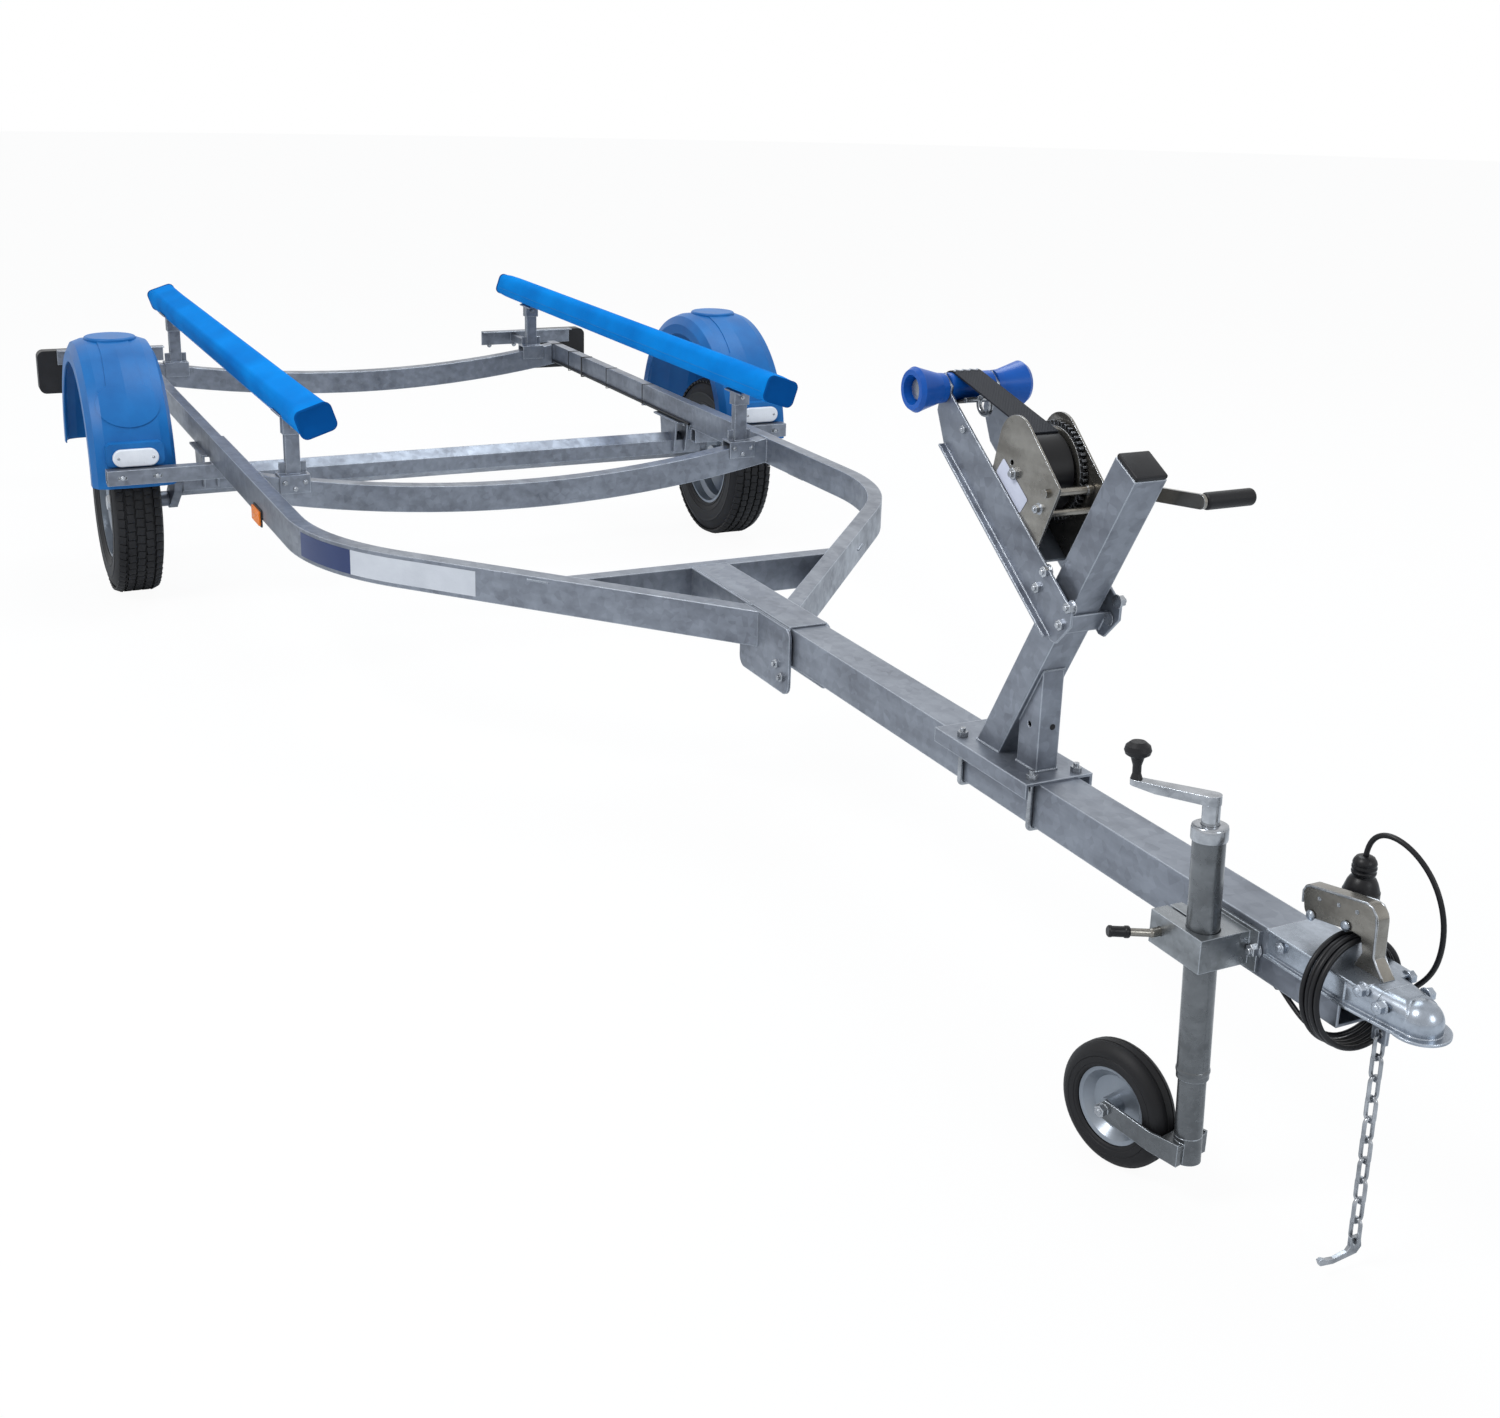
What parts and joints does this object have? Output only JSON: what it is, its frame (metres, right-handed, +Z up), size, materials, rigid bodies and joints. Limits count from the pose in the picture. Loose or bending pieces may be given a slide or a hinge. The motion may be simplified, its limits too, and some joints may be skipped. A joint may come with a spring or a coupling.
{
  "type": "boat trailer",
  "caption": "Single-axle galvanised boat trailer with bent telescoping frame, padded bunks, leaning strap-winch post, blue mudguards, jockey wheel and ball coupling.",
  "frame": {"origin": "middle of the footprint on the ground, parked on its wheels and jockey wheel", "axes": "+X forwards to the coupling, +Y to the trailer's left, +Z up"},
  "size_m": [6.075, 2.313, 1.1242],
  "materials": {
    "galvanised": "hot-dip galvanised, dull spangle",
    "zinc_plate": "bright zinc plate",
    "silver_paint": "silver wheel paint",
    "tyre_rubber": "black tyre rubber",
    "black_rubber": "black rubber",
    "black_plastic": "black moulded plastic",
    "blue_plastic": "blue moulded plastic",
    "roller_plastic": "blue polyurethane",
    "bunk_cloth": "bright blue marine carpet cloth",
    "strap_web": "black woven webbing",
    "red_lens": "red and amber lamp lens",
    "white_lens": "white marker lens"
  },
  "bodies": {
    "frame": {"axle_arms": "galvanised", "axle_beam": "galvanised", "axle_brackets": "galvanised", "bunk_left": "bunk_cloth", "bunk_posts": "galvanised", "bunk_right": "bunk_cloth", "chain_hook": "zinc_plate", "clamp_lever": "zinc_plate", "clamp_socket": "galvanised", "coupling_cup": "zinc_plate", "coupling_handle": "zinc_plate", "coupling_head": "zinc_plate", "crank_grip": "black_plastic", "cross_brace": "galvanised", "cross_front": "galvanised", "cross_rear": "galvanised", "drawbar": "galvanised", "jack_clamp": "zinc_plate", "jack_crank": "zinc_plate", "jack_knob": "black_plastic", "jack_tube": "zinc_plate", "lamp_arms": "galvanised", "lamp_housings": "black_plastic", "lamp_lenses": "red_lens", "lead": "black_rubber", "lead_coil": "black_rubber", "marker_lamps": "white_lens", "mudguard_carriers": "galvanised", "mudguard_left": "blue_plastic", "mudguard_right": "blue_plastic", "plug": "black_rubber", "plug_holder": "zinc_plate", "post_cap": "black_plastic", "rail_left": "galvanised", "rail_right": "galvanised", "rear_rails": "galvanised", "roller_pin": "zinc_plate", "safety_chain": "zinc_plate", "strap_hook": "zinc_plate", "u_bolts": "zinc_plate", "winch_bracket": "galvanised", "winch_crank": "zinc_plate", "winch_frame": "zinc_plate", "winch_gear": "zinc_plate", "winch_post": "galvanised", "winch_saddle": "galvanised", "winch_spindles": "zinc_plate", "winch_spool": "strap_web", "winch_strap": "strap_web"},
    "wheel_left": {"hub_left": "galvanised", "rim_left": "silver_paint", "tyre_left": "tyre_rubber"},
    "wheel_right": {"hub_right": "galvanised", "rim_right": "silver_paint", "tyre_right": "tyre_rubber"},
    "bow_roller_body": {"bow_roller": "roller_plastic"},
    "jack_stem_body": {"jack_stem": "zinc_plate"},
    "jockey_fork_body": {"jockey_fork": "zinc_plate"},
    "jockey_wheel_body": {"jockey_rim": "silver_paint", "jockey_tyre": "tyre_rubber"}
  },
  "joints": [
    {"name": "wheel_left_spin", "type": "hinge", "parent": "frame", "child": "wheel_left", "pos_m": [-1.3435, 1.0315, 0.281], "axis": [0, 1, 0], "continuous": true},
    {"name": "wheel_right_spin", "type": "hinge", "parent": "frame", "child": "wheel_right", "pos_m": [-1.3435, -1.0315, 0.281], "axis": [0, 1, 0], "continuous": true},
    {"name": "bow_roller_spin", "type": "hinge", "parent": "frame", "child": "bow_roller_body", "pos_m": [1.84525, 0, 1.08422], "axis": [0, 1, 0], "continuous": true},
    {"name": "jack_slide", "type": "slide", "parent": "frame", "child": "jack_stem_body", "axis": [-0.0323, 0, 0.9995], "range_m": [-0.15, 0.075]},
    {"name": "jockey_swivel", "type": "hinge", "parent": "jack_stem_body", "child": "jockey_fork_body", "pos_m": [2.692, -0.104, 0.41511], "axis": [-0.0323, 0, 0.9995], "continuous": true},
    {"name": "jockey_spin", "type": "hinge", "parent": "jockey_fork_body", "child": "jockey_wheel_body", "pos_m": [2.57367, -0.13365, 0.10008], "axis": [-0.2248, 0.9744, -0.0073], "continuous": true}
  ]
}
